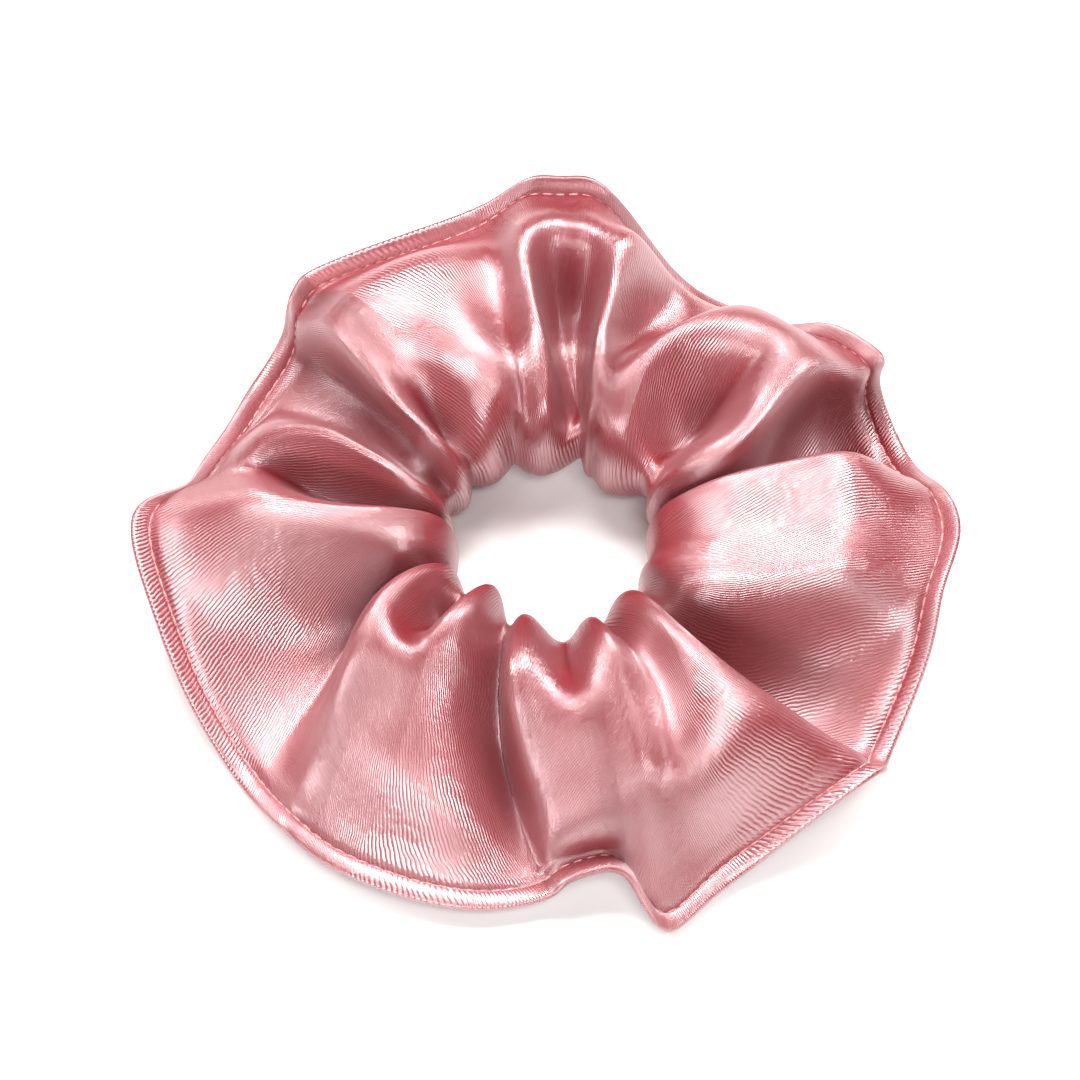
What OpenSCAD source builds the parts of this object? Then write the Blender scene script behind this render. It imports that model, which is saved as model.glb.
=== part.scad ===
// Satin scrunchie: one strip of satin, folded lengthwise round a loop of flat elastic
// and topstitched along its outer edge. Z is up, and the ring lies flat on Z = 0
// with its centre on the Z axis. The ring is split at X = 0, where it stretches.

/* [Ring] */
// Radius of the hole that the hair goes through
hole_r = 15; // [12:0.5:15.5]
// Height of the elastic's channel
casing_h = 10.4; // [9:0.2:12]
// Height of the channel's lower lip above the table
casing_z = 8.8; // [7:0.2:9]
// Gap left between the two halves, in degrees of the ring
split_gap = 1.6; // [1.2:0.1:3]

/* [Satin] */
// Thickness of one layer of satin
cloth_t = 0.5; // [0.4:0.05:0.6]
// Thickness of the stitched hem, four layers of satin
hem_t = 1; // [0.8:0.05:1.2]
// Width of the flat stitched hem
hem_w = 3.2; // [2.5:0.1:4]
// Size of the whole ruffle, as a share of its normal size
ruffle = 1; // [0.95:0.01:1.05]

/* [Elastic] */
// Width of the flat elastic
elastic_w = 8; // [6:0.5:8]
// Thickness of the flat elastic
elastic_t = 1; // [0.6:0.1:1]
// Arc over which the elastic's two ends lie on each other, in degrees
lap_arc = 40; // [30:1:50]

/* [Thread] */
// Radius of the sewing thread
thread_r = 0.2; // [0.12:0.02:0.24]
// Distance from the outer edge to the row of stitches
stitch_inset = 2.6; // [2:0.1:2.8]
// Angle at which the strip's two ends are sewn together
closing_angle = 205; // [200:1:210]

/* [Hidden] */

SATIN = [0.86, 0.55, 0.58];
CASING = [0.80, 0.47, 0.51];
ELASTIC = [0.95, 0.94, 0.92];
THREAD = [0.92, 0.66, 0.68];

// The wavy outer edge, anticlockwise: [angle, radius, height of the hem]
HEM = [
    [1, 59.5, 20], [19, 56, 6], [29, 56, 20], [37, 54, 16], [46, 52, 12], [65, 51, 5],
    [80, 55, 20], [92, 56, 22], [103, 55, 17], [117, 52, 16], [133, 54, 21], [148, 53, 8],
    [160, 53, 11], [171, 55, 16], [179, 60.5, 21], [190, 60, 16], [212, 56, 4], [225, 58, 8],
    [238, 57, 5], [254, 55, 4], [271, 53, 6], [278, 51, 9], [286, 58, 3], [305, 56, 6],
    [322, 60, 14], [330, 58, 7], [343, 58, 14], [353, 58, 19]
];
// The folds round the hole, anticlockwise: [angle, height]
CREST = [
    [0, 25], [11, 28], [21, 17], [30, 27], [39, 20], [50, 28], [65, 20], [77, 28], [86, 21],
    [98, 28], [105, 24], [111, 28], [119, 24], [129, 28], [145, 17], [156, 26], [165, 26],
    [182, 27], [194, 26], [205, 17], [217, 27], [232, 28], [248, 19], [265, 27], [278, 25],
    [290, 27], [297, 21], [306, 28], [315, 27], [326, 17], [338, 26], [350, 24]
];

STEP = 3;
TURN = 360;
LEFT_START = TURN / 4 + split_gap / 2;
RIGHT_START = -TURN / 4 + split_gap / 2;
HALF_SWEEP = TURN / 2 - split_gap;
STATIONS = round(HALF_SWEEP / STEP);

CASING_T = 0.5;
CASING_TOP = casing_z + casing_h;
LIP_R = hole_r + 3.5;
SLEEVE_R = LIP_R + 2 * cloth_t + 0.05;
ELASTIC_R = hole_r + 0.9;
ELASTIC_Z = casing_z + (casing_h - elastic_w) / 2;
LAP_GAP = 0.1;
REST_IN_R = 23;
REST_OUT_R = 30;
SHOULDER_R = 40;
UNDER_R = 38;
THREAD_GAP = 0.05;
SEAM_GAP = 0.6;
SIDE_STEP = 1.5;
MAX_STEEPNESS = 2.2;
THREAD_SIDES = 6;
TOP_CUTS = 8;
TOP_INSIDE_CUTS = 7;
UNDER_CUTS = 5;
RISER_CUTS = 3;
ZIGZAGS = 6;
$fn = 96;

// Smooth value at angle a from a closed list of [angle, value, ...], taking column c
function ease(f) = (1 - cos(180 * f)) / 2;
function turned(a) = a - TURN * floor(a / TURN);
function before(list, a, i = 0) =
    i + 1 < len(list) && list[i + 1][0] <= a ? before(list, a, i + 1) : i;
function next_angle(list, i) = i + 1 < len(list) ? list[i + 1][0] : TURN + list[0][0];
function at(list, a, c, i) =
    let (span = next_angle(list, i) - list[i][0], f = (a - list[i][0]) / span)
    list[i][c] + (list[(i + 1) % len(list)][c] - list[i][c]) * ease(f);
function around(list, a, c) = at(list, turned(a), c, before(list, turned(a)));

function hem_r(a) = around(HEM, a, 1) * ruffle;
function hem_z(a) = around(HEM, a, 2) * ruffle;
function crest_z(a) = around(CREST, a, 1) * ruffle;

// A curve through the plane of the section, as [radius, height]
function bend(p, q, r, s, t) =
    pow(1 - t, 3) * p + 3 * t * pow(1 - t, 2) * q + 3 * t * t * (1 - t) * r + pow(t, 3) * s;
function top_at(a, t) = bend(
    [SLEEVE_R, CASING_TOP], [SLEEVE_R + 0.5, 1.35 * crest_z(a) - 6],
    [SHOULDER_R, crest_z(a)], [hem_r(a) - hem_w, hem_z(a) + hem_t / 2], t);
function under_at(a, t) = bend(
    [hem_r(a) - hem_w, hem_z(a) - hem_t / 2],
    [hem_r(a) - hem_w - 8, 0.4 * (hem_z(a) - hem_t / 2)],
    [UNDER_R, 0], [REST_OUT_R, 0], t);
function riser_at(t) = bend(
    [REST_IN_R, 0], [REST_IN_R - 3, 0], [SLEEVE_R, 2], [SLEEVE_R, casing_z], t);

// The satin's outer face in section, from the top lip round the hem to the lower lip
function outer_face(a) = concat(
    [for (i = [0 : TOP_CUTS]) top_at(a, i / TOP_CUTS)],
    [[hem_r(a), hem_z(a) + hem_t / 2], [hem_r(a), hem_z(a) - hem_t / 2]],
    [for (i = [0 : UNDER_CUTS]) under_at(a, i / UNDER_CUTS)],
    [for (i = [0 : RISER_CUTS]) riser_at(i / RISER_CUTS)]);

// The same line, one layer of satin further in, and stopping short of the hem
function inward(p, q) = let (d = q - p) [d.y, -d.x] / norm(d) * cloth_t;
// How much deeper the layer is in section where the folds are steep on either side
function steepness(p, q) =
    let (slope = (q.y - p.y) / (p.x * 2 * SIDE_STEP * PI / 180))
    min(sqrt(1 + slope * slope), MAX_STEEPNESS);
function top_inside(a, t) = top_at(a, t)
    + inward(top_at(a, t), top_at(a, t + 0.05))
    * steepness(top_at(a - SIDE_STEP, t), top_at(a + SIDE_STEP, t));
function under_inside(a, t) = under_at(a, t)
    + inward(under_at(a, t), under_at(a, t + 0.05))
    * steepness(under_at(a - SIDE_STEP, t), under_at(a + SIDE_STEP, t));
function riser_inside(t) = riser_at(t) + inward(riser_at(t - 0.05), riser_at(t));
function inner_face(a) = concat(
    [for (i = [0 : RISER_CUTS]) riser_inside(1 - i / (RISER_CUTS + 1))],
    [[REST_IN_R, cloth_t], [REST_OUT_R, cloth_t]],
    [for (i = [1 : UNDER_CUTS - 1]) under_inside(a, 1 - i / UNDER_CUTS)],
    [for (i = [TOP_INSIDE_CUTS : -1 : 0]) top_inside(a, i / TOP_CUTS)]);
function sleeve_section(a) = concat(outer_face(a), inner_face(a));

function spun(p, a) = [p.x * cos(a), p.x * sin(a), p.y];

// Triangles that close the end of a skin, between its first `split` points and the rest
function cap(ring, split, i, j) =
    i == split - 1 && j == split ? []
    : j == split || (i < split - 1 && norm(ring[i + 1] - ring[j]) < norm(ring[i] - ring[j - 1]))
        ? concat([[i, i + 1, j]], cap(ring, split, i + 1, j))
        : concat([[i, j - 1, j]], cap(ring, split, i, j - 1));

// A closed solid through a row of rings, each with the same number of points. From the
// point `split` on, the facets are cut along their other diagonal.
module skin(rings, split) {
    n = len(rings[0]);
    last = (len(rings) - 1) * n;
    polyhedron(
        points = [for (ring = rings) each ring],
        faces = concat(
            cap(rings[0], split, 0, n - 1),
            [for (k = [0 : len(rings) - 2], i = [0 : n - 1])
                each let (p = k * n + i, q = k * n + (i + 1) % n)
                    i < split
                        ? [[p, p + n, q], [q, p + n, q + n]]
                        : [[p, p + n, q + n], [p, q + n, q]]],
            [for (t = cap(rings[len(rings) - 1], split, 0, n - 1))
                [last + t[2], last + t[1], last + t[0]]]));
}

module sleeve_half(start) {
    rings = [for (k = [0 : STATIONS])
        let (a = start + HALF_SWEEP * k / STATIONS)
        [for (p = sleeve_section(a)) spun(p, a)]];
    skin(rings, len(outer_face(0)));
}

module arc(start, sweep) {
    rotate([0, 0, start])
        rotate_extrude(angle = sweep)
            children();
}

module casing_half(start) {
    arc(start, HALF_SWEEP)
        translate([hole_r, casing_z])
            difference() {
                square([LIP_R - hole_r, casing_h]);
                translate([CASING_T, CASING_T])
                    square([LIP_R - hole_r, casing_h - 2 * CASING_T]);
            }
}

module elastic_band(start, sweep, r) {
    arc(start, sweep)
        translate([r, ELASTIC_Z])
            square([elastic_t, elastic_w]);
}

// A thread along the hem, on the side that the sign gives: 1 on top, -1 underneath
module hem_thread_half(start, side) {
    skin([for (k = [0 : STATIONS])
        let (a = start + HALF_SWEEP * k / STATIONS)
        [for (i = [0 : THREAD_SIDES - 1])
            let (turn = -TURN * i / THREAD_SIDES, lift = hem_t / 2 + thread_r + THREAD_GAP)
            spun([
                hem_r(a) - stitch_inset + thread_r * cos(turn),
                hem_z(a) + side * lift + thread_r * sin(turn)
            ], a)]], THREAD_SIDES / 2);
}

module satin_sleeve_left() {
    color(SATIN) sleeve_half(LEFT_START);
}

module satin_sleeve_right() {
    color(SATIN) sleeve_half(RIGHT_START);
}

module casing_left() {
    color(CASING) casing_half(LEFT_START);
}

module casing_right() {
    color(CASING) casing_half(RIGHT_START);
}

// The elastic's ends lap over each other on this half
module elastic_left() {
    color(ELASTIC) {
        elastic_band(LEFT_START, HALF_SWEEP, ELASTIC_R);
        elastic_band(TURN / 2 - lap_arc / 2, lap_arc, ELASTIC_R + elastic_t - LAP_GAP);
    }
}

module elastic_right() {
    color(ELASTIC) elastic_band(RIGHT_START, HALF_SWEEP, ELASTIC_R);
}

// Zigzag stitches that hold the lapped ends together
module elastic_join_thread() {
    r = ELASTIC_R + 2 * elastic_t - LAP_GAP + thread_r + THREAD_GAP;
    pitch = elastic_w / (ZIGZAGS + 1);
    color(THREAD)
        for (i = [0 : ZIGZAGS - 1])
            rotate([0, 0, TURN / 2])
                translate([r, 0, ELASTIC_Z + (i + 1) * pitch])
                    rotate([i % 2 == 0 ? 75 : -75, 0, 0])
                        cylinder(r = thread_r, h = pitch * 0.8, center = true, $fn = 16);
}

module hem_needle_thread_left() {
    color(THREAD) hem_thread_half(LEFT_START, 1);
}

module hem_needle_thread_right() {
    color(THREAD) hem_thread_half(RIGHT_START, 1);
}

module hem_bobbin_thread_left() {
    color(THREAD) hem_thread_half(LEFT_START, -1);
}

module hem_bobbin_thread_right() {
    color(THREAD) hem_thread_half(RIGHT_START, -1);
}

// The seam inside the sleeve where the strip's two ends meet
module closing_seam_thread() {
    inset = cloth_t + thread_r + SEAM_GAP;
    path = [for (i = [1 : 2 * TOP_CUTS]) let (t = 0.85 * i / (2 * TOP_CUTS))
        top_at(closing_angle, t) + inward(top_at(closing_angle, t),
            top_at(closing_angle, t + 0.02)) / cloth_t * inset];
    color(THREAD)
        rotate([0, 0, closing_angle])
            skin([for (p = path) [for (i = [0 : THREAD_SIDES - 1])
                let (turn = TURN * i / THREAD_SIDES)
                [p.x, thread_r * cos(turn), p.y + thread_r * sin(turn)]]], THREAD_SIDES / 2);
}

satin_sleeve_left();
satin_sleeve_right();
casing_left();
casing_right();
elastic_left();
elastic_right();
elastic_join_thread();
hem_needle_thread_left();
hem_needle_thread_right();
hem_bobbin_thread_left();
hem_bobbin_thread_right();
closing_seam_thread();
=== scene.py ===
"""A rose-pink satin scrunchie, lying flat and seen from above.

The satin is one folded strip: its folds are listed one by one, a smooth surface is
drawn through them, and the hem, the stitches, the elastic and the seams follow that
surface. Lengths in the lists are in millimetres and angles in degrees, anticlockwise
from +X; everything is built in metres in the frame of the CAD model.
"""
import math

import bpy
import numpy as np
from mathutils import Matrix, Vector


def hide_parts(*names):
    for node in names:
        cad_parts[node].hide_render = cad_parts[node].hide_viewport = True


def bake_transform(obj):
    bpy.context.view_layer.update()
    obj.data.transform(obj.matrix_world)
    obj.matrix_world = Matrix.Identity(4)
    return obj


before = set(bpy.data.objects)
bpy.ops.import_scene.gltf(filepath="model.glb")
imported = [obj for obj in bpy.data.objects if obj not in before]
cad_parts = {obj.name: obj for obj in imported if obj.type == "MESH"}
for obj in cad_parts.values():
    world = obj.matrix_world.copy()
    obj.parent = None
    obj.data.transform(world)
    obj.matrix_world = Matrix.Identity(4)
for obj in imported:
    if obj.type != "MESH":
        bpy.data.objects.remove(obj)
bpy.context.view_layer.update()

MM = 0.001

# ---------------------------------------------------------------- the folds
# One line for each ridge or valley, anticlockwise:
# angles at the hole, the crest, half way and the hem;
# heights at 22, 30, 38 and 46 mm from the centre and at the hem; radii at the hole and the hem
FOLDS = [
    ("roll_lip", (6, 10.5, 10.5, 5), (24.5, 26, 27.5, 27, 20), 14.5, 58),
    ("red_hollow", (12, 11, 14, 18), (14, 5, 2.5, 2.5, 6), 16, 56),
    ("ridge_foot", (16, 14, 26, 29), (18, 9, 5, 6, 11), 16, 56),
    ("thick_ridge", (20, 18, 27, 29), (26, 27.5, 27, 26, 20), 15.5, 56),
    ("pocket_wall", (29, 30, 34, 34), (20, 21, 26.5, 26, 19), 16.5, 55),
    ("ridge_dip", (38, 42, 41, 40), (12, 12, 23.5, 24, 16), 16.8, 53.5),
    ("horseshoe_side", (48, 58, 53, 46), (26, 27.5, 27, 20, 9), 14, 52),
    ("bulb_front", (57, 65, 60, 56), (27, 22, 16, 12, 2), 13.3, 52),
    ("broad_valley", (65, 70, 68, 66), (27, 20, 14, 13, 2), 14.3, 52),
    ("second_horseshoe", (69, 75, 75.5, 77), (26, 27.5, 27, 26, 15), 14.4, 54),
    ("far_pocket", (75, 81.5, 83, 84), (12, 10, 13, 24, 22), 16.8, 56),
    ("far_edge", (83, 88, 89, 88.5), (17, 12, 13, 24, 22), 15, 56),
    ("far_ridge", (94, 94.5, 96, 93), (27, 28, 27.5, 26.5, 22), 13.5, 56),
    ("pink_dip", (103, 102, 101, 99), (24, 23, 21.5, 20, 17), 14.3, 55.5),
    ("white_ridge", (110, 111, 113, 111), (27, 27, 26, 23.5, 17), 16.3, 53.5),
    ("corner_fold", (125, 125, 129, 133), (26, 27, 27, 26, 22), 14.8, 54),
    ("corner_pocket", (136, 137, 135, 135), (16, 23.5, 26, 25.5, 21), 16.8, 54),
    ("corner_lip", (147, 145, 140, 137), (26, 27, 26, 24, 20), 15, 53.5),
    ("under_corner", (154, 146, 140, 140), (20, 15, 12, 11, 12), 16.5, 53),
    ("long_slope", (161, 153, 147, 149), (17, 14, 10, 8, 8), 16.8, 53),
    ("small_arc", (167, 161, 154, 157), (22, 21, 17, 12, 10), 16, 52.5),
    ("bright_arc", (173, 165, 161, 168), (26, 26.5, 25, 20, 15), 15, 53.5),
    ("small_pocket", (177, 171, 167, 173), (17, 13, 13, 19, 18), 16, 55),
    ("left_corner", (181, 182, 179, 178.5), (26, 26.5, 26, 25, 21), 14.5, 61),
    ("left_panel", (189, 188, 187, 190), (26, 25, 22, 19, 16), 14.5, 60),
    ("hollow_wall", (197, 194, 198, 204), (23, 15, 8, 6, 7), 15.2, 58),
    ("left_hollow", (203, 199, 209, 218), (14, 7, 4.5, 3.5, 1.5), 16.3, 57),
    ("hollow_edge", (206, 209, 218, 227.5), (25.5, 27, 23.5, 14, 6), 15.5, 58),
    ("front_pocket", (216, 221, 226, 232), (14, 26, 22, 14.5, 5), 15.8, 58),
    ("front_left_panel", (231, 231, 236, 239), (27.5, 25, 19.5, 13.5, 4.5), 13, 57.5),
    ("front_triangle", (239, 243, 251, 258), (22, 17, 14, 9.5, 4), 14, 55.5),
    ("red_valley", (246, 253, 261, 270), (14, 7, 4, 4, 5), 15.5, 52.5),
    ("front_ridge", (255, 257, 265, 272), (26.5, 26.5, 18, 11, 8), 14.5, 52),
    ("heart_left", (266, 266, 271, 275), (24, 25.5, 20.5, 14, 9), 15.5, 51.3),
    ("heart_hollow", (276, 276, 278, 280), (19, 25, 21.5, 14.5, 9), 16.8, 51),
    ("heart_right", (284, 283, 283, 283), (24, 25.5, 22, 15, 7), 15.5, 53.5),
    ("tip_fold", (290, 291, 289, 286), (26, 25, 23.5, 17, 3), 15.2, 59.5),
    ("mauve_valley", (296, 300, 296, 292), (20, 21, 20.5, 15.5, 3.5), 16, 58),
    ("front_right_panel", (309, 310, 304, 302), (26.5, 26, 24, 18, 4.5), 14.5, 56),
    ("crisp_edge", (318, 313, 315, 322), (25, 27.5, 25, 21, 14), 15.5, 60),
    ("right_hollow", (321, 316, 319, 327), (15, 5, 2.5, 2.5, 5), 16.5, 58.5),
    ("hollow_side", (328, 327, 335, 341), (21, 16, 11, 9, 13), 15.8, 58),
    ("right_ridge", (335, 337, 344, 350), (25, 25.5, 25.5, 24.5, 20.5), 14.5, 58),
    ("right_dip", (348, 353, 357, 358), (23, 24, 25, 25, 22), 14.8, 59.5),
]
# The radii of those heights, of the crest and of half way, and the flat hem's width
HEIGHT_R = (22, 30, 38, 46)
CREST_R = 26
HALF_R = 37
HEM_WIDTH = 3.2
# The wall round the hole: how far out its rim, foot and turn lie, and their heights
WALL_Z = 14
RIM_OUT = 2
RIM_DROP = 4
RIM_ABOVE_WALL = 2
FOOT_OUT = 1
FOOT_Z = 6
TURN_OUT = 5
TURN_Z = 1.5
# The under layer lies UNDER_Z high, plus a share of the height at 38 mm near the middle
# and shares of the hem's height further out
UNDER_Z = 0.6
UNDER_R = 33
INNER_SHARE = 0.14
HALF_SHARE = 0.3
OUTER_SHARE = 0.35
# Cloth that would be lower than LEVEL_Z levels off to LOWEST_Z, just above the table
LEVEL_Z = 1
LOWEST_Z = 0.2
# Columns of the mesh from each fold to the next, and the cloth's thickness
PER_FOLD = 12
CLOTH_T = 0.15
# The flat elastic and the angles where it starts and ends, one lap past a full turn
ELASTIC_R = 18.2
ELASTIC_T = 0.8
ELASTIC_W = 7.5
ELASTIC_Z = 10.3
ELASTIC_RIBS = 19
ELASTIC_GROOVE = 0.07
ELASTIC_EDGE = 0.2
LAP_GAP = 0.1
LAP_ARC = 40
LAP_START = 160
LAP_END = LAP_START + 360 + LAP_ARC
# The sewing thread, the hem's stitches, the closing seam's, and the zigzag in degrees a turn
THREAD_R = 0.17
THREAD_SIDES = 8
STITCH = 2
STITCH_GAP = 0.5
STITCH_LIFT = 0.1
SEAM_STITCH = 2.2
SEAM_GAP = 0.4
ZIGZAGS = 12
ZIGZAG = 1.6
ZIGZAG_EDGE = 1
# One unit of the satin's UV map in millimetres, its ribs, and the sizes of their unevenness
UV_UNIT = 100
RIB_PITCH = 0.42
RIB_SLANT = 0.3
RIB_WANDER = 1.3
RIB_JITTER = 0.3
WANDER_SIZE = 9
JITTER_SIZE = 1.3
FIBRE_SIZE = 0.35
CLOUD_SIZE = 25
# As the cloth round the ring is gathered less, from the first share of its flat length to
# the second, the ribs go from four pitches apart to two, and from two to one
MIDDLE_GATHER = (0.28, 0.38)
FINE_GATHER = (0.55, 0.75)
# The stage, the lights and the camera, in metres and degrees; the lens is in millimetres
FLOOR_HALF = 2.0
LIGHT_AIM = (0, 0, 0.01)
CAMERA_LENS = 200
SENSOR_WIDTH = 36
CAMERA_AIM = (-0.0018, 0.0017, 0.01)
CAMERA_ELEVATION = 66
CAMERA_DISTANCE = 0.888
# The softboxes: name, place, size and power in watts
SOFTBOXES = [
    ("back_softbox", (0, 0.36, 0.82), (0.5, 0.35), 16),
    ("right_softbox", (0.54, 0.36, 0.62), (0.3, 0.3), 3.5),
    ("left_softbox", (-0.56, 0.25, 0.65), (0.3, 0.3), 3.5),
    ("front_softbox", (-0.1, -0.74, 0.5), (0.5, 0.25), 7.5),
    ("near_softbox", (0.1, -0.28, 0.85), (0.3, 0.15), 3),
]


def closed_spline(points, per):
    """A smooth closed curve through the points, with `per` samples from each to the next."""
    n = len(points)
    gaps = np.sqrt(np.linalg.norm(np.roll(points, -1, axis=0) - points, axis=1)) + 1e-6
    before = np.roll(gaps, 1)
    rows = np.zeros((n, n))
    for i in range(n):
        rows[i, i - 1] += before[i]
        rows[i, i] += 2 * (before[i] + gaps[i])
        rows[i, (i + 1) % n] += gaps[i]
    step = (np.roll(points, -1, axis=0) - points) / gaps[:, None]
    bends = np.linalg.solve(rows, 6 * (step - np.roll(step, 1, axis=0)))
    out = []
    for i in range(n):
        j, h = (i + 1) % n, gaps[i]
        for k in range(per):
            b = h * k / per
            a = h - b
            out.append(
                bends[i] * a ** 3 / (6 * h) + bends[j] * b ** 3 / (6 * h)
                + (points[i] / h - bends[i] * h / 6) * a
                + (points[j] / h - bends[j] * h / 6) * b)
    return np.array(out)


def open_spline(knots, values, at):
    """A natural cubic through values at knots, read at the places `at`. Values may be arrays."""
    n = len(knots)
    h = np.diff(knots)
    rows = np.zeros((n, n))
    right = np.zeros_like(values)
    rows[0, 0] = rows[-1, -1] = 1
    for i in range(1, n - 1):
        rows[i, i - 1] = h[i - 1]
        rows[i, i] = 2 * (h[i - 1] + h[i])
        rows[i, i + 1] = h[i]
        after = (values[i + 1] - values[i]) / h[i]
        before = (values[i] - values[i - 1]) / h[i - 1]
        right[i] = 6 * (after - before)
    bends = np.linalg.solve(rows, right.reshape(n, -1)).reshape(values.shape)
    i = np.clip(np.searchsorted(knots, at, side="right") - 1, 0, n - 2)
    shape = (-1,) + (1,) * (values.ndim - 1)
    hh = h[i].reshape(shape)
    b = (at - knots[i]).reshape(shape)
    a = hh - b
    return (
        (bends[i] * a ** 3 + bends[i + 1] * b ** 3) / (6 * hh)
        + (values[i] / hh - bends[i] * hh / 6) * a
        + (values[i + 1] / hh - bends[i + 1] * hh / 6) * b)


def polar(angle, radius, height):
    a = math.radians(angle)
    return np.array([radius * math.cos(a), radius * math.sin(a), height])


def section(fold):
    """The points of one fold, from the hem over the crest, through the hole and back below."""
    _, angles, heights, r_hole, r_hem = fold
    a_hole, _, _, a_hem = angles
    z_hem = heights[-1]
    places = np.array([r_hole, CREST_R, HALF_R, r_hem], float)

    def angle(radius):
        return float(open_spline(places, np.array(angles, float), np.array([radius]))[0])

    upper = [polar(angle(r), r, z) for r, z in zip(HEIGHT_R, heights)]
    hem = polar(a_hem, r_hem, z_hem)
    outer_r = HEIGHT_R[-1]
    under_outer = polar(angle(outer_r), outer_r, UNDER_Z + OUTER_SHARE * z_hem)
    middle = (upper[-1] + 2 * under_outer) / 3
    root = hem + (middle - hem) / np.linalg.norm(middle - hem) * HEM_WIDTH
    rim_z = max(heights[0] - RIM_DROP, WALL_Z + RIM_ABOVE_WALL)
    return [
        hem, root, *reversed(upper),
        polar(angle(r_hole + RIM_OUT), r_hole + RIM_OUT, rim_z),
        polar(a_hole, r_hole, WALL_Z),
        polar(a_hole, r_hole + FOOT_OUT, FOOT_Z),
        polar(a_hole, r_hole + TURN_OUT, TURN_Z),
        polar(angle(UNDER_R), UNDER_R, UNDER_Z + INNER_SHARE * heights[2]),
        polar(angle(HALF_R), HALF_R, UNDER_Z + HALF_SHARE * z_hem),
        under_outer, root, hem]


CONTROL = np.array([section(f) for f in FOLDS])
ROWS = np.stack([closed_spline(CONTROL[:, k], PER_FOLD) for k in range(CONTROL.shape[1])])

# Places along the section: the hem has many rows close together, the rest an even number
HEM_S = np.array([0, 0.1, 0.3, 0.7, 1.3, 1.9, 2.3, 2.55, 2.75, 2.95, 3.2])
HEM_H = np.array([0.04, 0.3, 0.42, 0.5, 0.54, 0.48, 0.36, 0.2, 0.14, 0.24, 0.5])
PUFF_S = np.array([3.2, 3.6, 4.4, 6, 12, 20])
PUFF_H = np.array([0.5, 0.8, 1.0, 0.9, 0.4, 0.2])
BODY_ROWS = 74


def lay_out(rows):
    """The whole sheet as an array (row, column, xyz), with the distance from the hem's edge."""
    lengths = np.linalg.norm(np.diff(rows, axis=0), axis=2).mean(axis=1)
    knots = np.concatenate([[0], np.cumsum(lengths)])
    total = knots[-1]
    body = np.linspace(HEM_WIDTH, total - HEM_WIDTH, BODY_ROWS + 2)[1:-1]
    at = np.concatenate([HEM_S, body, (total - HEM_S)[::-1]])
    sheet = open_spline(knots, rows, at)
    from_edge = np.minimum(at, total - at)
    lift = np.interp(from_edge, np.append(HEM_S, PUFF_S[1:]), np.append(HEM_H, PUFF_H[1:]))
    return sheet, at, lift


def normals_of(grid):
    """Unit normals of a grid that is closed across its columns."""
    along = np.roll(grid, -1, axis=1) - np.roll(grid, 1, axis=1)
    down = np.gradient(grid, axis=0)
    n = np.cross(along, down)
    return n / (np.linalg.norm(n, axis=2, keepdims=True) + 1e-12)


SHEET, AT, LIFT = lay_out(ROWS)
NORMAL = normals_of(SHEET)
# The normals point out of the sleeve: a third of the way round the section, that is up
if NORMAL[len(AT) // 3, :, 2].mean() < 0:
    NORMAL = -NORMAL
SHEET = SHEET + NORMAL * LIFT[:, None, None]
# The lowest cloth lies on the table, and never sinks through it
HEIGHT = SHEET[:, :, 2]
SPAN = LEVEL_Z - LOWEST_Z
LEVELLED = LOWEST_Z + SPAN * np.exp((HEIGHT - LEVEL_Z) / SPAN)
SHEET[:, :, 2] = np.where(HEIGHT < LEVEL_Z, LEVELLED, HEIGHT)
STITCH_ROW = list(HEM_S).index(2.75)
# The hem isn't gathered, so it is as long as the flat strip
STRIP_LENGTH = float(np.linalg.norm(
    np.roll(SHEET[STITCH_ROW], -1, axis=0) - SHEET[STITCH_ROW], axis=1).sum())


def mesh_object(name, vertices, faces, material, uv=None):
    mesh = bpy.data.meshes.new(name)
    mesh.from_pydata([tuple(v) for v in vertices], [], faces)
    mesh.materials.append(material)
    if uv is not None:
        layer = mesh.uv_layers.new(name="cloth")
        layer.data.foreach_set("uv", uv.reshape(-1))
    mesh.polygons.foreach_set("use_smooth", [True] * len(mesh.polygons))
    mesh.update()
    obj = bpy.data.objects.new(name, mesh)
    bpy.context.scene.collection.objects.link(obj)
    return obj


def tube_faces(rows, columns):
    faces = []
    for r in range(rows):
        s = (r + 1) % rows
        for c in range(columns):
            d = (c + 1) % columns
            faces.append((r * columns + c, s * columns + c, s * columns + d, r * columns + d))
    return faces


def tube_uv(at, total, columns, length):
    rows = len(at)
    v = np.append(at, total)
    uv = np.zeros((rows, columns, 4, 2))
    for r in range(rows):
        for c in range(columns):
            u0, u1 = c / columns * length, (c + 1) / columns * length
            uv[r, c] = [(u0, v[r]), (u0, v[r + 1]), (u1, v[r + 1]), (u1, v[r])]
    return uv / UV_UNIT


# ---------------------------------------------------------------- materials
def new_material(name):
    material = bpy.data.materials.new(name)
    material.use_nodes = True
    nodes = material.node_tree.nodes
    return material, nodes, material.node_tree.links, nodes["Principled BSDF"]


def maths(nodes, links, operation, *values):
    node = nodes.new("ShaderNodeMath")
    node.operation = operation
    for socket, value in zip(node.inputs, values):
        if isinstance(value, (int, float)):
            socket.default_value = value
        else:
            links.new(value, socket)
    return node.outputs[0]


def noise(nodes, links, vector, scale, detail):
    node = nodes.new("ShaderNodeTexNoise")
    node.inputs["Scale"].default_value = scale
    node.inputs["Detail"].default_value = detail
    links.new(vector, node.inputs["Vector"])
    return node.outputs["Fac"]


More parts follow.
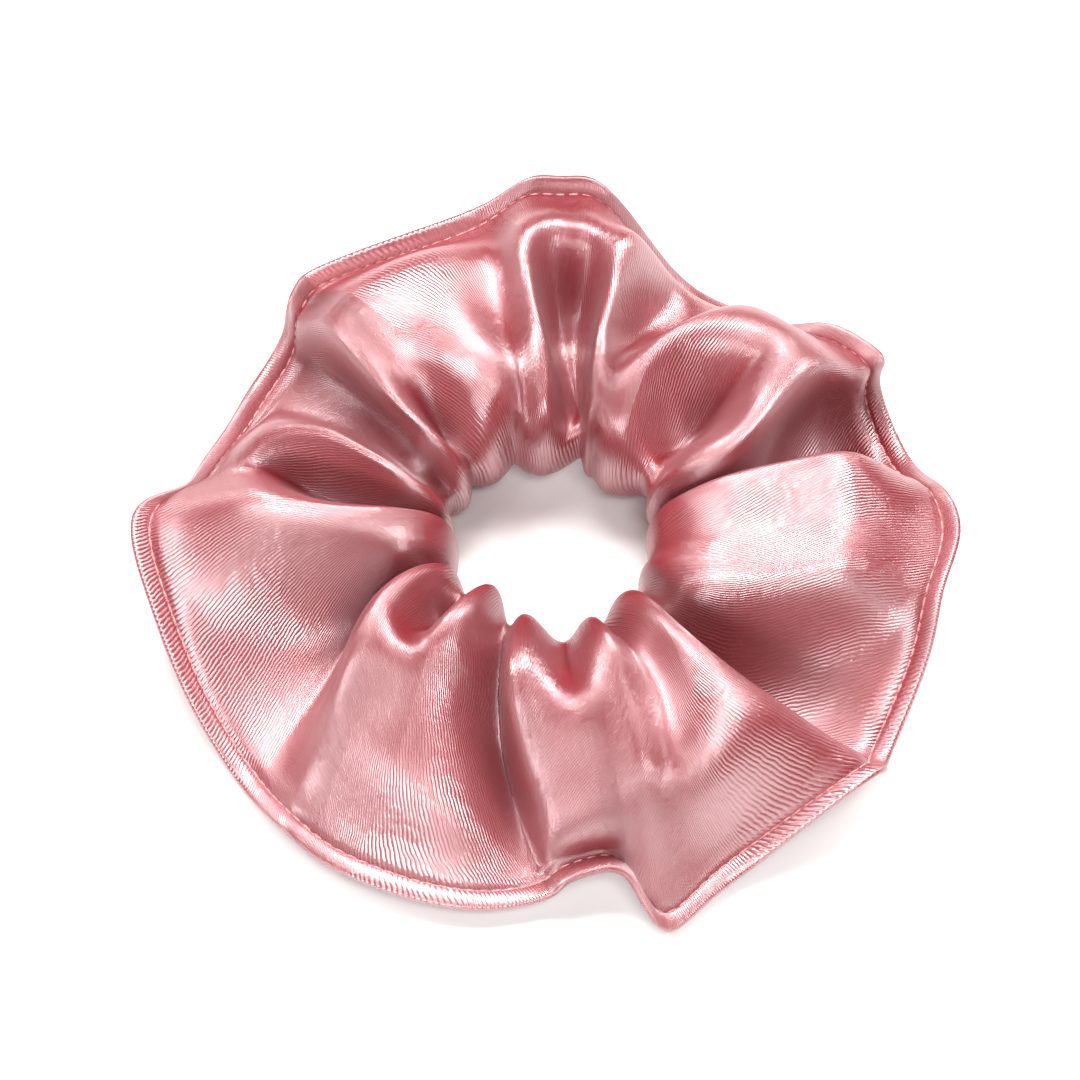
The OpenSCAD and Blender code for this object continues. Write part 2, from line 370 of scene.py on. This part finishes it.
def colour_between(nodes, links, shader, value, low, high):
    """The base colour runs from one place and colour to another, as the value rises."""
    ramp = nodes.new("ShaderNodeValToRGB")
    for stop, (place, colour) in zip(ramp.color_ramp.elements, (low, high)):
        stop.position = place
        stop.color = (*colour, 1)
    links.new(value, ramp.inputs["Fac"])
    links.new(ramp.outputs["Color"], shader.inputs["Base Color"])


def raise_bumps(nodes, links, shader, height, strength, distance):
    bump = nodes.new("ShaderNodeBump")
    bump.inputs["Strength"].default_value = strength
    bump.inputs["Distance"].default_value = distance
    links.new(height, bump.inputs["Height"])
    links.new(bump.outputs["Normal"], shader.inputs["Normal"])


def satin_material():
    """Satin: fine slanting ribs across the strip, that break up a long soft sheen."""
    material, nodes, links, shader = new_material("rose_satin")
    shader.inputs["Metallic"].default_value = 0.15
    shader.inputs["IOR"].default_value = 3.3
    shader.inputs["Anisotropic"].default_value = 0.55
    shader.inputs["Specular Tint"].default_value = (1, 0.94, 0.95, 1)
    tangent = nodes.new("ShaderNodeTangent")
    tangent.direction_type = "UV_MAP"
    tangent.uv_map = "cloth"
    links.new(tangent.outputs["Tangent"], shader.inputs["Tangent"])

    coords = nodes.new("ShaderNodeUVMap")
    coords.uv_map = "cloth"
    cloth = coords.outputs["UV"]
    split = nodes.new("ShaderNodeSeparateXYZ")
    links.new(cloth, split.inputs["Vector"])
    along, across = split.outputs["X"], split.outputs["Y"]
    wander = noise(nodes, links, cloth, UV_UNIT / WANDER_SIZE, 3)
    jitter = noise(nodes, links, cloth, UV_UNIT / JITTER_SIZE, 1)
    fibre = noise(nodes, links, cloth, UV_UNIT / FIBRE_SIZE, 2)
    cloud = noise(nodes, links, cloth, UV_UNIT / CLOUD_SIZE, 2)
    place = maths(nodes, links, "MULTIPLY_ADD", across, RIB_SLANT, along)
    place = maths(nodes, links, "MULTIPLY_ADD", wander, RIB_WANDER / UV_UNIT, place)
    place = maths(nodes, links, "MULTIPLY_ADD", jitter, RIB_JITTER / UV_UNIT, place)
    gather = nodes.new("ShaderNodeAttribute")
    gather.attribute_name = "gather"

    def ribs(pitch):
        phase = maths(nodes, links, "MULTIPLY", place, 2 * math.pi * UV_UNIT / pitch)
        wave = maths(nodes, links, "SINE", phase)
        return maths(nodes, links, "MULTIPLY_ADD", wave, 0.5, 0.5)

    def finer(shares, coarse, fine):
        near = nodes.new("ShaderNodeMapRange")
        near.inputs["From Min"].default_value = shares[0]
        near.inputs["From Max"].default_value = shares[1]
        links.new(gather.outputs["Fac"], near.inputs["Value"])
        mix = nodes.new("ShaderNodeMix")
        links.new(near.outputs["Result"], mix.inputs["Factor"])
        links.new(coarse, mix.inputs["A"])
        links.new(fine, mix.inputs["B"])
        return mix.outputs["Result"]

    rib = finer(MIDDLE_GATHER, ribs(4 * RIB_PITCH), ribs(2 * RIB_PITCH))
    rib = finer(FINE_GATHER, rib, ribs(RIB_PITCH))
    height = maths(nodes, links, "MULTIPLY_ADD", fibre, 0.8, rib)
    raise_bumps(nodes, links, shader, height, 0.9, 0.00007)
    depth = maths(nodes, links, "MULTIPLY", rib, 0.35)
    depth = maths(nodes, links, "MULTIPLY_ADD", cloud, 0.5, depth)
    colour_between(
        nodes, links, shader, depth, (0.1, (0.19, 0.006, 0.012)), (0.75, (0.26, 0.013, 0.023)))
    gloss = nodes.new("ShaderNodeMapRange")
    gloss.inputs["To Min"].default_value = 0.33
    gloss.inputs["To Max"].default_value = 0.43
    links.new(rib, gloss.inputs["Value"])
    links.new(gloss.outputs["Result"], shader.inputs["Roughness"])
    return material


def elastic_material():
    """White elastic: fine cross threads over its ribs."""
    material, nodes, links, shader = new_material("white_elastic")
    shader.inputs["Roughness"].default_value = 0.75
    shader.inputs["Sheen Weight"].default_value = 0.3
    coords = nodes.new("ShaderNodeTexCoord")
    weave = noise(nodes, links, coords.outputs["Object"], 1500, 3)
    colour_between(
        nodes, links, shader, weave, (0.3, (0.66, 0.62, 0.60)), (0.7, (0.86, 0.84, 0.82)))
    raise_bumps(nodes, links, shader, weave, 0.6, 0.0001)
    return material


def thread_material():
    """Pink sewing thread: twisted fibres."""
    material, nodes, links, shader = new_material("pink_thread")
    shader.inputs["Roughness"].default_value = 0.45
    shader.inputs["Sheen Weight"].default_value = 0.4
    coords = nodes.new("ShaderNodeTexCoord")
    fibre = noise(nodes, links, coords.outputs["Object"], 4000, 2)
    colour_between(
        nodes, links, shader, fibre, (0.3, (0.42, 0.09, 0.10)), (0.7, (0.74, 0.33, 0.32)))
    raise_bumps(nodes, links, shader, fibre, 0.5, 0.00005)
    return material


SATIN = satin_material()
ELASTIC = elastic_material()
THREAD = thread_material()


def finish_piece(obj, slot, *nodes):
    """The piece stands for CAD nodes of both halves, which are hidden; its transform is baked into
    its mesh.
    """
    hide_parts(*nodes)
    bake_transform(obj)
    return obj


def thicken(obj, thickness):
    bpy.context.view_layer.objects.active = obj
    layer = obj.modifiers.new("layer", "SOLIDIFY")
    layer.thickness = thickness * MM
    layer.offset = -1
    bpy.ops.object.modifier_apply(modifier=layer.name)


def satin_sleeve():
    rows, columns = SHEET.shape[:2]
    uv = tube_uv(AT, AT[-1], columns, STRIP_LENGTH)
    obj = mesh_object("satin_sleeve", SHEET.reshape(-1, 3) * MM, tube_faces(rows, columns), SATIN, uv)
    around = np.linalg.norm(np.roll(SHEET, -1, axis=1) - SHEET, axis=2).sum(axis=1)
    gather = np.repeat(around / STRIP_LENGTH, columns)
    attribute = obj.data.attributes.new("gather", "FLOAT", "POINT")
    attribute.data.foreach_set("value", gather.astype(np.float32))
    thicken(obj, CLOTH_T)
    return finish_piece(
        obj, "satin", "satin_sleeve_left", "satin_sleeve_right", "casing_left", "casing_right")


def elastic_path(angle):
    """The middle of the elastic at an angle: its last part lies outside its first."""
    step = np.clip((angle - LAP_END + 2 * LAP_ARC) / LAP_ARC, 0, 1)
    return ELASTIC_R + ELASTIC_T / 2 + (ELASTIC_T + LAP_GAP) * step * step * (3 - 2 * step)


def elastic_loop():
    """Flat ribbed elastic, with its two ends lapped."""
    angles = np.arange(LAP_START, LAP_END + 1, 1.0)
    half_t, half_w = ELASTIC_T / 2, ELASTIC_W / 2
    ribs = np.linspace(-half_w + ELASTIC_EDGE, half_w - ELASTIC_EDGE, ELASTIC_RIBS)
    wave = ELASTIC_GROOVE * np.cos(np.arange(ELASTIC_RIBS) * math.pi)
    outer = [(half_t - ELASTIC_GROOVE + w, z) for w, z in zip(wave, ribs)]
    inner = [(-half_t + ELASTIC_GROOVE - w, z) for w, z in zip(wave, ribs)][::-1]
    profile = [(0, -half_w), *outer, (0, half_w), *inner]
    rings = len(angles)
    points = np.array([
        [polar(a, elastic_path(a) + r, ELASTIC_Z + z) for a in angles] for r, z in profile])
    faces = []
    for i in range(len(profile)):
        j = (i + 1) % len(profile)
        for c in range(rings - 1):
            faces.append((i * rings + c, j * rings + c, j * rings + c + 1, i * rings + c + 1))
    faces.append([i * rings for i in range(len(profile))][::-1])
    faces.append([i * rings + rings - 1 for i in range(len(profile))])
    obj = mesh_object("elastic_loop", points.reshape(-1, 3) * MM, faces, ELASTIC)
    return finish_piece(obj, "elastic", "elastic_left", "elastic_right")


def stitches(name, segments, radius, *nodes):
    """Short threads, each from a start to an end, humped along a normal and dipping at its ends."""
    vertices, faces = [], []
    shares = np.array([0, 0.06, 0.2, 0.5, 0.8, 0.94, 1])
    humps = np.array([-1.2, -0.2, 0.35, 0.5, 0.35, -0.2, -1.2])
    widths = np.array([0.5, 0.9, 1, 1, 1, 0.9, 0.5])
    turns = np.linspace(0, 2 * math.pi, THREAD_SIDES, endpoint=False)
    caps = THREAD_SIDES * (len(shares) - 1)
    for start, end, normal in segments:
        along = (end - start) / np.linalg.norm(end - start)
        side = np.cross(along, normal)
        side = side / np.linalg.norm(side)
        up = np.cross(side, along)
        base = len(vertices)
        for share, hump, width in zip(shares, humps, widths):
            centre = start + (end - start) * share + up * hump * radius
            for turn in turns:
                around = side * math.cos(turn) + up * math.sin(turn)
                vertices.append((centre + around * radius * width) * MM)
        for p in range(base, base + caps, THREAD_SIDES):
            q = p + THREAD_SIDES
            for i in range(THREAD_SIDES):
                j = (i + 1) % THREAD_SIDES
                faces.append((p + i, q + i, q + j, p + j))
        faces.append([base + i for i in range(THREAD_SIDES)])
        faces.append([base + caps + i for i in range(THREAD_SIDES)][::-1])
    obj = mesh_object(name, vertices, faces, THREAD)
    return finish_piece(obj, "thread", *nodes)


def along_path(points, normals, pitch, gap, closed):
    """Stitches of one pitch along a path on the cloth, with a gap between each and the next."""
    if closed:
        points = np.vstack([points, points[:1]])
        normals = np.vstack([normals, normals[:1]])
    length = np.concatenate([[0], np.cumsum(np.linalg.norm(np.diff(points, axis=0), axis=1))])
    count = round(length[-1] / pitch)
    step = length[-1] / count

    def at(values, place):
        return np.array([np.interp(place, length, values[:, k]) for k in range(3)])

    out = []
    for k in range(count):
        start = k * step + gap / 2
        end = (k + 1) * step - gap / 2
        out.append((at(points, start), at(points, end), at(normals, (start + end) / 2)))
    return out


def hem_stitches(name, row, *nodes):
    up = NORMAL[row]
    path = SHEET[row] + up * STITCH_LIFT
    return stitches(name, along_path(path, up, STITCH, STITCH_GAP, True), THREAD_R, *nodes)


def join_stitches():
    """The zigzag through the elastic's lapped ends."""
    r = ELASTIC_R + 2 * ELASTIC_T + LAP_GAP
    reach = ELASTIC_W / 2 - ZIGZAG_EDGE
    turns = [
        polar(180 + ZIGZAG * (k - ZIGZAGS / 2), r, ELASTIC_Z + (reach if k % 2 else -reach))
        for k in range(ZIGZAGS + 1)]
    outward = np.array([-1.0, 0, 0])
    return stitches(
        "elastic_join_stitches", [(p, q, outward) for p, q in zip(turns, turns[1:])],
        THREAD_R, "elastic_join_thread")


def closing_stitches():
    """The seam inside the sleeve where the strip's two ends meet."""
    column = PER_FOLD * [fold[0] for fold in FOLDS].index("hollow_wall")
    rows = slice(len(HEM_S), len(AT) // 2)
    inward = -NORMAL[rows, column]
    path = SHEET[rows, column] + inward * (CLOTH_T + THREAD_R)
    return stitches(
        "closing_seam_stitches", along_path(path, inward, SEAM_STITCH, SEAM_GAP, False), THREAD_R,
        "closing_seam_thread")


sleeve = satin_sleeve()
band = elastic_loop()
needle = hem_stitches(
    "hem_needle_stitches", STITCH_ROW, "hem_needle_thread_left", "hem_needle_thread_right")
bobbin = hem_stitches(
    "hem_bobbin_stitches", len(AT) - 1 - STITCH_ROW,
    "hem_bobbin_thread_left", "hem_bobbin_thread_right")
join_stitches()
seam = closing_stitches()


# ---------------------------------------------------------------- stage, light and camera
def stage():
    material, _, _, shader = new_material("pale_floor")
    shader.inputs["Base Color"].default_value = (0.8, 0.79, 0.78, 1)
    shader.inputs["Roughness"].default_value = 0.8
    corners = [
        (x * FLOOR_HALF, y * FLOOR_HALF, 0) for x, y in ((-1, -1), (1, -1), (1, 1), (-1, 1))]
    mesh_object("floor", corners, [(0, 1, 2, 3)], material)


def lights():
    for name, place, size, power in SOFTBOXES:
        light = bpy.data.lights.new(name, "AREA")
        light.shape = "RECTANGLE"
        light.size, light.size_y = size
        light.energy = power
        obj = bpy.data.objects.new(name, light)
        bpy.context.scene.collection.objects.link(obj)
        obj.location = place
        obj.rotation_euler = (Vector(LIGHT_AIM) - Vector(place)).to_track_quat("-Z", "Y").to_euler()
    world = bpy.data.worlds.new("studio")
    world.use_nodes = True
    background = world.node_tree.nodes["Background"]
    background.inputs["Color"].default_value = (1, 0.98, 0.97, 1)
    background.inputs["Strength"].default_value = 0.03
    bpy.context.scene.world = world


def camera():
    data = bpy.data.cameras.new("camera")
    data.lens = CAMERA_LENS
    data.sensor_width = SENSOR_WIDTH
    obj = bpy.data.objects.new("camera", data)
    bpy.context.scene.collection.objects.link(obj)
    aim = Vector(CAMERA_AIM)
    elevation = math.radians(CAMERA_ELEVATION)
    back = Vector((0, -math.cos(elevation), math.sin(elevation)))
    obj.location = aim + CAMERA_DISTANCE * back
    obj.rotation_euler = (aim - obj.location).to_track_quat("-Z", "Y").to_euler()
    bpy.context.scene.camera = obj


stage()
lights()
camera()
bpy.context.scene.view_settings.view_transform = "Standard"
